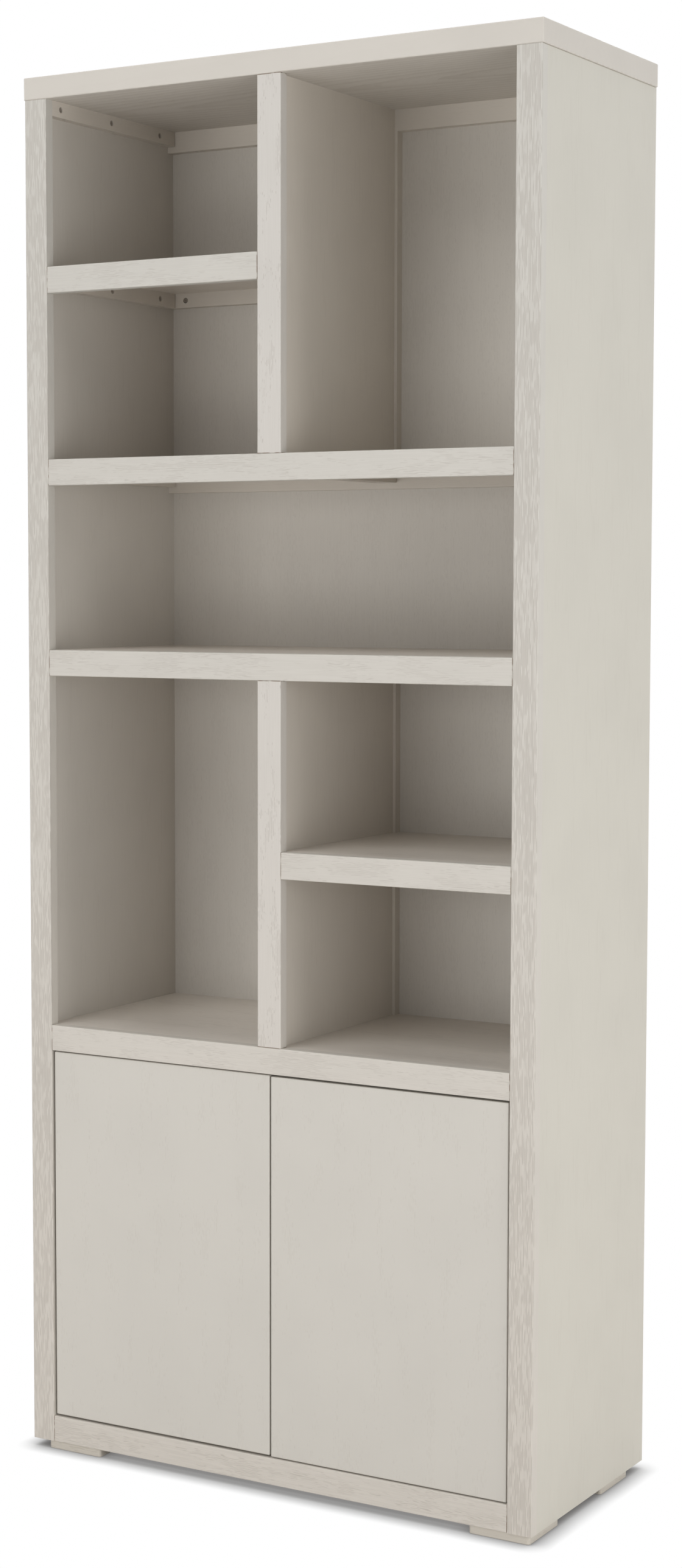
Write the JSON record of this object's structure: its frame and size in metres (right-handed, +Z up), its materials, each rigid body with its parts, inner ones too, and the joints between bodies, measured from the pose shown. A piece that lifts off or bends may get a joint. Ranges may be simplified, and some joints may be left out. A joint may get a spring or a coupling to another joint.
{
  "type": "bookcase with cabinet doors",
  "caption": "Tall free-standing bookcase with open niches of several sizes above a cabinet with inset push-to-open doors.",
  "frame": {"origin": "on the floor, below the middle of the top panel", "axes": "+X to the right seen from the front, +Y to the back, +Z up"},
  "size_m": [0.9, 0.406, 2.195],
  "materials": {
    "edge_oak": "thin pale paint over open oak grain",
    "panel_oak": "satin pale paint, faint grain",
    "board_oak": "satin pale paint, faint grain",
    "back_ply": "matt pale paint over upright grain",
    "cleat_wood": "matt pale paint",
    "foot_wood": "matt pale paint, worn at the corners",
    "door_panel": "satin pale paint, almost smooth",
    "hinge_steel": "nickel plated",
    "pin_steel": "bright steel",
    "screw_steel": "zinc plated, touched with paint",
    "latch_plastic": "moulded",
    "plunger_plastic": "moulded"
  },
  "bodies": {
    "carcass": {"back_panel": "back_ply", "bottom_panel": "panel_oak", "bottom_rail": "edge_oak", "bottom_runners": "cleat_wood", "cabinet_top_board": "board_oak", "cabinet_top_brace": "cleat_wood", "cabinet_top_rail": "edge_oak", "cabinet_top_rear_cleat": "cleat_wood", "cabinet_top_side_cleats": "cleat_wood", "carcass_screws": "screw_steel", "front_left_foot": "foot_wood", "front_right_foot": "foot_wood", "hardware_screws": "screw_steel", "hinge_blocks": "cleat_wood", "inner_shelf": "panel_oak", "latch_housings": "latch_plastic", "left_hinge_arms": "hinge_steel", "left_side_panel": "panel_oak", "left_stile": "edge_oak", "lower_back_batten": "cleat_wood", "lower_divider_panel": "panel_oak", "lower_divider_stile": "edge_oak", "lower_right_shelf_board": "board_oak", "lower_right_shelf_rail": "edge_oak", "lower_right_shelf_rear_cleat": "cleat_wood", "lower_right_shelf_side_cleats": "cleat_wood", "middle_shelf_board": "board_oak", "middle_shelf_rail": "edge_oak", "middle_shelf_rear_cleat": "cleat_wood", "middle_shelf_side_cleats": "cleat_wood", "rear_left_foot": "foot_wood", "rear_right_foot": "foot_wood", "right_hinge_arms": "hinge_steel", "right_side_panel": "panel_oak", "right_stile": "edge_oak", "shelf_pins": "pin_steel", "top_panel": "panel_oak", "top_rear_cleat": "cleat_wood", "top_side_cleats": "cleat_wood", "upper_back_batten": "cleat_wood", "upper_divider_panel": "panel_oak", "upper_divider_stile": "edge_oak", "upper_left_shelf_board": "board_oak", "upper_left_shelf_rail": "edge_oak", "upper_left_shelf_rear_cleat": "cleat_wood", "upper_left_shelf_side_cleats": "cleat_wood", "upper_shelf_board": "board_oak", "upper_shelf_brace": "cleat_wood", "upper_shelf_rail": "edge_oak", "upper_shelf_rear_cleat": "cleat_wood", "upper_shelf_side_cleats": "cleat_wood"},
    "left_door": {"left_door": "door_panel", "left_hinge_cups": "hinge_steel", "left_hinge_pins": "pin_steel"},
    "right_door": {"right_door": "door_panel", "right_hinge_cups": "hinge_steel", "right_hinge_pins": "pin_steel"},
    "left_plunger": {"left_latch_plunger": "plunger_plastic"},
    "right_plunger": {"right_latch_plunger": "plunger_plastic"}
  },
  "joints": [
    {"name": "left_door_hinge", "type": "hinge", "parent": "carcass", "child": "left_door", "pos_m": [-0.389, -0.19, 0.058], "axis": [0, 0, -1], "range_deg": [0, 95]},
    {"name": "left_latch_plunger", "type": "slide", "parent": "carcass", "child": "left_plunger", "axis": [0, -1, 0], "range_m": [0, 0.01]},
    {"name": "right_door_hinge", "type": "hinge", "parent": "carcass", "child": "right_door", "pos_m": [0.389, -0.19, 0.058], "axis": [0, 0, 1], "range_deg": [0, 95]},
    {"name": "right_latch_plunger", "type": "slide", "parent": "carcass", "child": "right_plunger", "axis": [0, -1, 0], "range_m": [0, 0.01]}
  ],
  "couplings": [
    {"joint": "left_latch_plunger", "follows": "left_door_hinge", "m_per_rad": 0.006},
    {"joint": "right_latch_plunger", "follows": "right_door_hinge", "m_per_rad": 0.006}
  ]
}
